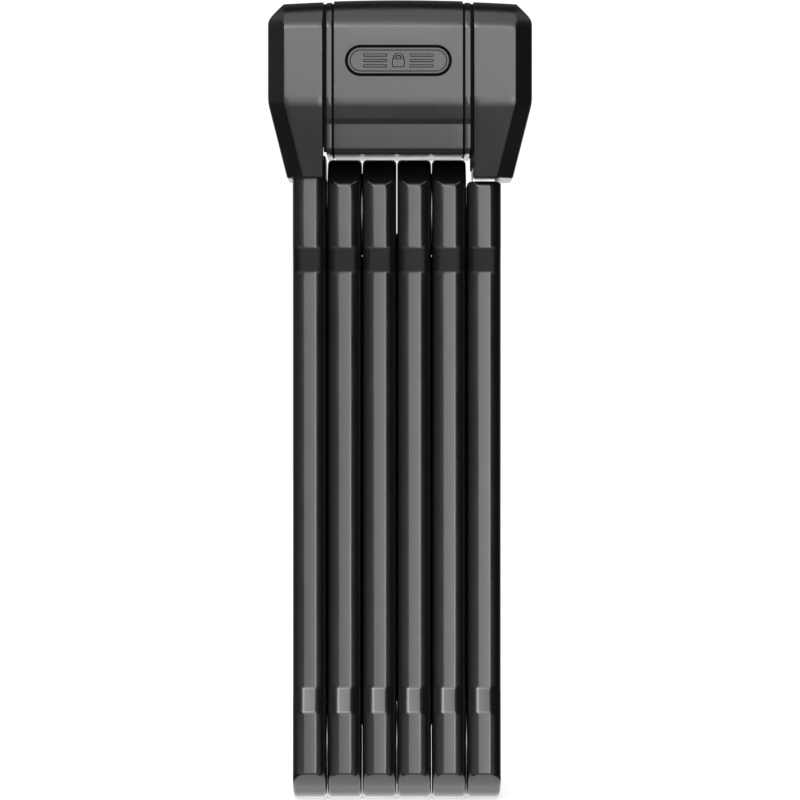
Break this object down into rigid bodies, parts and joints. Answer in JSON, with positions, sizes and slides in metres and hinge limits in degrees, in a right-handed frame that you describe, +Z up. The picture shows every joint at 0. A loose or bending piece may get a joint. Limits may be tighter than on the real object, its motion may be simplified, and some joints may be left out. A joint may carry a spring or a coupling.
{
  "type": "folding bike lock",
  "caption": "Folding bike lock, folded: plastic-jacketed steel bars riveted in a zigzag under a lock head with a key cylinder, sliding bolt and tongue socket.",
  "frame": {"origin": "centre of the folded lock across and front to back, at the level of the bars' lower ends", "axes": "+X across the bars, towards the tongue side of the head; -Y is the front with the label; +Z up, from the bars to the head"},
  "size_m": [0.0662, 0.038, 0.2014],
  "materials": {
    "jacket_plastic": "satin, fine moulded grain",
    "head_plastic": "satin, very fine grain",
    "trim_plastic": "satin",
    "label_plastic": "satin, smoother than the head",
    "hardened_steel": "ground, lightly oiled",
    "rivet_steel": "turned, zinc plated",
    "brass": "machined",
    "rubber": "matt"
  },
  "bodies": {
    "head": {"lock_body": "hardened_steel", "left_cheek": "head_plastic", "right_cheek": "head_plastic", "center_frame": "trim_plastic", "front_cover": "head_plastic", "rear_cover": "head_plastic", "label_plate": "label_plastic", "socket_buffer": "rubber", "cheek_screw_1": "rivet_steel", "cheek_screw_2": "rivet_steel", "cheek_screw_3": "rivet_steel", "cheek_screw_4": "rivet_steel", "cylinder_housing": "brass", "plug_retaining_ring": "rivet_steel", "anti_drill_plate": "hardened_steel", "keyhole_seal": "rubber", "keyhole_bezel": "trim_plastic", "head_pivot_pin": "rivet_steel", "pivot_washer_outer": "rivet_steel", "pivot_washer_inner": "rivet_steel"},
    "key_plug": {"cylinder_plug": "brass", "locking_disc_1": "brass", "locking_disc_2": "brass", "locking_disc_3": "brass", "locking_disc_4": "brass", "locking_disc_5": "brass", "locking_disc_6": "brass", "sidebar": "rivet_steel", "bolt_driver": "hardened_steel"},
    "bolt": {"locking_bolt": "hardened_steel"},
    "keyhole_slide": {"keyhole_cover": "trim_plastic"},
    "bar_1": {"bar_core_1": "hardened_steel", "bar_jacket_1": "jacket_plastic", "bar_rivet_1": "rivet_steel", "spacer_washer_1": "rivet_steel"},
    "bar_2": {"bar_core_2": "hardened_steel", "bar_jacket_2": "jacket_plastic", "bar_rivet_2": "rivet_steel", "spacer_washer_2": "rivet_steel"},
    "bar_3": {"bar_core_3": "hardened_steel", "bar_jacket_3": "jacket_plastic", "bar_rivet_3": "rivet_steel", "spacer_washer_3": "rivet_steel"},
    "bar_4": {"bar_core_4": "hardened_steel", "bar_jacket_4": "jacket_plastic", "bar_rivet_4": "rivet_steel", "spacer_washer_4": "rivet_steel"},
    "bar_5": {"bar_core_5": "hardened_steel", "bar_jacket_5": "jacket_plastic", "bar_rivet_5": "rivet_steel", "spacer_washer_5": "rivet_steel"},
    "bar_6": {"bar_core_6": "hardened_steel", "bar_jacket_6": "jacket_plastic"}
  },
  "joints": [
    {"name": "head_pivot", "type": "hinge", "parent": "head", "child": "bar_1", "pos_m": [-0.02278, 0, 0.173], "axis": [1, 0, 0], "range_deg": [0, 42]},
    {"name": "bar_pivot_1", "type": "hinge", "parent": "bar_1", "child": "bar_2", "pos_m": [-0.01838, 0, 0.0138], "axis": [1, 0, 0], "range_deg": [0, 58]},
    {"name": "bar_pivot_2", "type": "hinge", "parent": "bar_2", "child": "bar_3", "pos_m": [-0.00959, 0, 0.1484], "axis": [1, 0, 0], "range_deg": [-100, 0]},
    {"name": "bar_pivot_3", "type": "hinge", "parent": "bar_3", "child": "bar_4", "pos_m": [-0.0008, 0, 0.0138], "axis": [1, 0, 0], "range_deg": [-100, 0]},
    {"name": "bar_pivot_4", "type": "hinge", "parent": "bar_4", "child": "bar_5", "pos_m": [0.00799, 0, 0.1484], "axis": [1, 0, 0], "range_deg": [0, 50]},
    {"name": "bar_pivot_5", "type": "hinge", "parent": "bar_5", "child": "bar_6", "pos_m": [0.01678, 0, 0.0138], "axis": [1, 0, 0], "range_deg": [0, 50]},
    {"name": "key_turn", "type": "hinge", "parent": "head", "child": "key_plug", "pos_m": [-0.00513, 0, 0.186], "axis": [0, 0, 1], "range_deg": [0, 90]},
    {"name": "bolt_slide", "type": "slide", "parent": "head", "child": "bolt", "axis": [1, 0, 0], "range_m": [0, 0.005]},
    {"name": "keyhole_slide", "type": "slide", "parent": "head", "child": "keyhole_slide", "axis": [1, 0, 0], "range_m": [0, 0.0095]}
  ],
  "couplings": [
    {"joint": "bar_pivot_1", "follows": "head_pivot", "ratio": 1.3655},
    {"joint": "bar_pivot_2", "follows": "head_pivot", "ratio": -2.3655},
    {"joint": "bar_pivot_3", "follows": "head_pivot", "ratio": -2.3655},
    {"joint": "bar_pivot_4", "follows": "head_pivot", "ratio": 1.1828},
    {"joint": "bar_pivot_5", "follows": "head_pivot", "ratio": 1.1828},
    {"joint": "bolt_slide", "follows": "key_turn", "m_per_rad": 0.00318}
  ]
}
